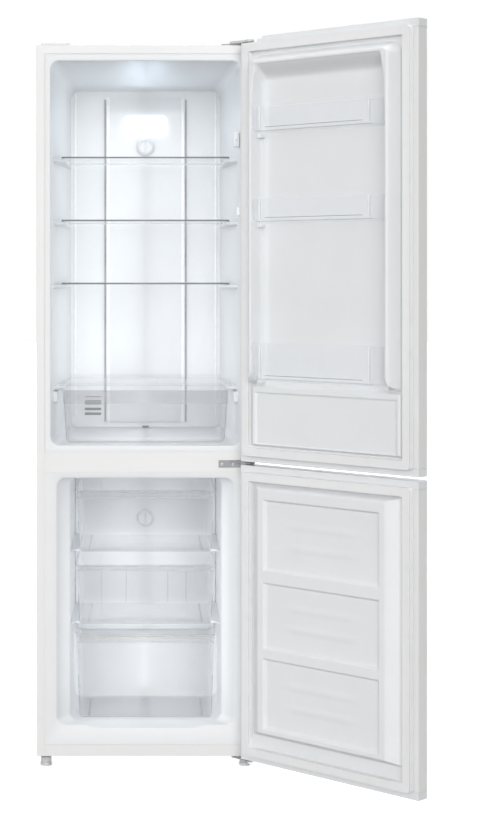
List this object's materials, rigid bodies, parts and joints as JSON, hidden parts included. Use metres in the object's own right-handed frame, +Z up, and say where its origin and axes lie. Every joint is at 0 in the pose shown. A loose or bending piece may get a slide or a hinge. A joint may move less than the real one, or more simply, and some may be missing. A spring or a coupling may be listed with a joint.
{
  "type": "bottom freezer refrigerator",
  "caption": "Free-standing white bottom freezer refrigerator, doors hung on the right and open, with glass shelves, clear drawers, door bins, hinges, cooling parts and levelling feet.",
  "frame": {"origin": "middle of the bounding box at floor level, with both doors open as stored", "axes": "+Z up, the cabinet's open front faces -Y, the hinges are at its +X side"},
  "size_m": [0.9104, 0.9578, 1.798],
  "materials": {
    "white_steel": "gloss white painted steel sheet",
    "white_plastic": "white moulded plastic, satin",
    "gasket": "soft white magnetic gasket",
    "clear_plastic": "clear moulded polystyrene",
    "shelf_glass": "toughened clear glass",
    "lamp_diffuser": "milky lamp diffuser, lit",
    "hinge_steel": "bright plated steel",
    "zinc_steel": "galvanised steel sheet",
    "black_paint": "black enamel",
    "aluminium": "bare aluminium",
    "copper": "copper tube",
    "dark_plastic": "black or dark grey moulded plastic",
    "grey_plastic": "light grey moulded plastic of the levelling feet",
    "foam": "rigid polyurethane foam"
  },
  "bodies": {
    "cabinet": {"outer_casing": "white_steel", "rear_panel": "zinc_steel", "base_pan": "zinc_steel", "centre_rail": "white_steel", "bottom_rail": "white_steel", "cabinet_foam": "foam", "fridge_liner": "white_plastic", "freezer_liner": "white_plastic", "spare_hinge_cover": "white_plastic", "top_hinge_bracket": "hinge_steel", "mid_hinge_bracket": "hinge_steel", "mid_hinge_screw_left": "hinge_steel", "mid_hinge_screw_right": "hinge_steel", "bottom_hinge_bracket": "hinge_steel", "air_duct_cover": "white_plastic", "lamp_cover": "lamp_diffuser", "lamp_board": "dark_plastic", "thermostat_box": "dark_plastic", "evaporator_cover": "white_plastic", "evaporator": "aluminium", "defrost_heater": "aluminium", "fan_motor": "dark_plastic", "door_switch": "white_plastic", "compressor_base": "zinc_steel", "compressor": "black_paint", "drip_tray": "dark_plastic", "compressor_cover": "zinc_steel", "cable_gland": "dark_plastic", "condenser_coil": "copper"},
    "fridge_door": {"fridge_door_skin": "white_steel", "fridge_door_cap_bottom": "white_plastic", "fridge_door_cap_top": "white_plastic", "fridge_door_foam": "foam", "fridge_door_gasket": "gasket", "fridge_door_liner": "white_plastic"},
    "freezer_door": {"freezer_door_skin": "white_steel", "freezer_door_cap_bottom": "white_plastic", "freezer_door_cap_top": "white_plastic", "freezer_door_foam": "foam", "freezer_door_gasket": "gasket", "freezer_door_liner": "white_plastic"},
    "fridge_knob": {"fridge_knob": "white_plastic"},
    "freezer_knob": {"freezer_knob": "white_plastic"},
    "evaporator_fan": {"evaporator_fan": "dark_plastic"},
    "switch_plunger": {"switch_plunger": "white_plastic"},
    "glass_shelf_bottom": {"glass_shelf_bottom": "shelf_glass"},
    "glass_shelf_middle": {"glass_shelf_middle": "shelf_glass"},
    "glass_shelf_top": {"glass_shelf_top": "shelf_glass"},
    "crisper_cover": {"crisper_cover": "clear_plastic"},
    "crisper": {"crisper": "clear_plastic"},
    "freezer_drawer_bottom": {"freezer_drawer_bottom": "clear_plastic"},
    "freezer_drawer_middle": {"freezer_drawer_middle": "clear_plastic"},
    "freezer_drawer_top": {"freezer_drawer_top": "clear_plastic"},
    "levelling_foot_left": {"levelling_foot_left": "grey_plastic"},
    "levelling_foot_right": {"levelling_foot_right": "grey_plastic"},
    "rear_roller_left": {"rear_roller_left": "dark_plastic"},
    "rear_roller_right": {"rear_roller_right": "dark_plastic"},
    "door_bin_bottom": {"door_bin_bottom": "clear_plastic"},
    "door_bin_middle": {"door_bin_middle": "clear_plastic"},
    "door_bin_top": {"door_bin_top": "clear_plastic"}
  },
  "joints": [
    {"name": "fridge_door_hinge", "type": "hinge", "parent": "cabinet", "child": "fridge_door", "pos_m": [0.07182, -0.09281, 0], "axis": [0, 0, 1], "range_deg": [-135, 0]},
    {"name": "freezer_door_hinge", "type": "hinge", "parent": "cabinet", "child": "freezer_door", "pos_m": [0.07182, -0.09281, 0], "axis": [0, 0, 1], "range_deg": [-135, 0]},
    {"name": "crisper_slide", "type": "slide", "parent": "cabinet", "child": "crisper", "axis": [0, -1, 0], "range_m": [0, 0.24]},
    {"name": "crisper_cover_slide", "type": "slide", "parent": "cabinet", "child": "crisper_cover", "axis": [0, -1, 0], "range_m": [0, 0.2]},
    {"name": "top_shelf_slide", "type": "slide", "parent": "cabinet", "child": "glass_shelf_top", "axis": [0, -1, 0], "range_m": [0, 0.2]},
    {"name": "middle_shelf_slide", "type": "slide", "parent": "cabinet", "child": "glass_shelf_middle", "axis": [0, -1, 0], "range_m": [0, 0.2]},
    {"name": "bottom_shelf_slide", "type": "slide", "parent": "cabinet", "child": "glass_shelf_bottom", "axis": [0, -1, 0], "range_m": [0, 0.2]},
    {"name": "top_drawer_slide", "type": "slide", "parent": "cabinet", "child": "freezer_drawer_top", "axis": [0, -1, 0], "range_m": [0, 0.24]},
    {"name": "middle_drawer_slide", "type": "slide", "parent": "cabinet", "child": "freezer_drawer_middle", "axis": [0, -1, 0], "range_m": [0, 0.24]},
    {"name": "bottom_drawer_slide", "type": "slide", "parent": "cabinet", "child": "freezer_drawer_bottom", "axis": [0, -1, 0], "range_m": [0, 0.17]},
    {"name": "top_bin_lift", "type": "slide", "parent": "fridge_door", "child": "door_bin_top", "axis": [0, 0, 1], "range_m": [0, 0.03]},
    {"name": "middle_bin_lift", "type": "slide", "parent": "fridge_door", "child": "door_bin_middle", "axis": [0, 0, 1], "range_m": [0, 0.03]},
    {"name": "bottom_bin_lift", "type": "slide", "parent": "fridge_door", "child": "door_bin_bottom", "axis": [0, 0, 1], "range_m": [0, 0.03]},
    {"name": "fridge_knob_turn", "type": "hinge", "parent": "cabinet", "child": "fridge_knob", "pos_m": [-0.18518, 0.36019, 1.562], "axis": [0, 1, 0], "range_deg": [-135, 135]},
    {"name": "freezer_knob_turn", "type": "hinge", "parent": "cabinet", "child": "freezer_knob", "pos_m": [-0.18518, 0.33419, 0.565], "axis": [0, 1, 0], "range_deg": [-135, 135]},
    {"name": "fan_spin", "type": "hinge", "parent": "cabinet", "child": "evaporator_fan", "pos_m": [-0.18518, 0.37219, 0.63], "axis": [0, 1, 0], "continuous": true},
    {"name": "left_foot_turn", "type": "hinge", "parent": "cabinet", "child": "levelling_foot_left", "pos_m": [-0.43178, -0.04481, 0.01], "axis": [0, 0, 1], "range_deg": [-720, 720]},
    {"name": "right_foot_turn", "type": "hinge", "parent": "cabinet", "child": "levelling_foot_right", "pos_m": [0.06142, -0.04481, 0.01], "axis": [0, 0, 1], "range_deg": [-720, 720]},
    {"name": "left_roller_spin", "type": "hinge", "parent": "cabinet", "child": "rear_roller_left", "pos_m": [-0.42518, 0.43519, 0.015], "axis": [1, 0, 0], "continuous": true},
    {"name": "right_roller_spin", "type": "hinge", "parent": "cabinet", "child": "rear_roller_right", "pos_m": [0.05482, 0.43519, 0.015], "axis": [1, 0, 0], "continuous": true},
    {"name": "door_switch_press", "type": "slide", "parent": "cabinet", "child": "switch_plunger", "axis": [0, 1, 0], "range_m": [0, 0.005], "stiffness_N_per_m": 150}
  ]
}
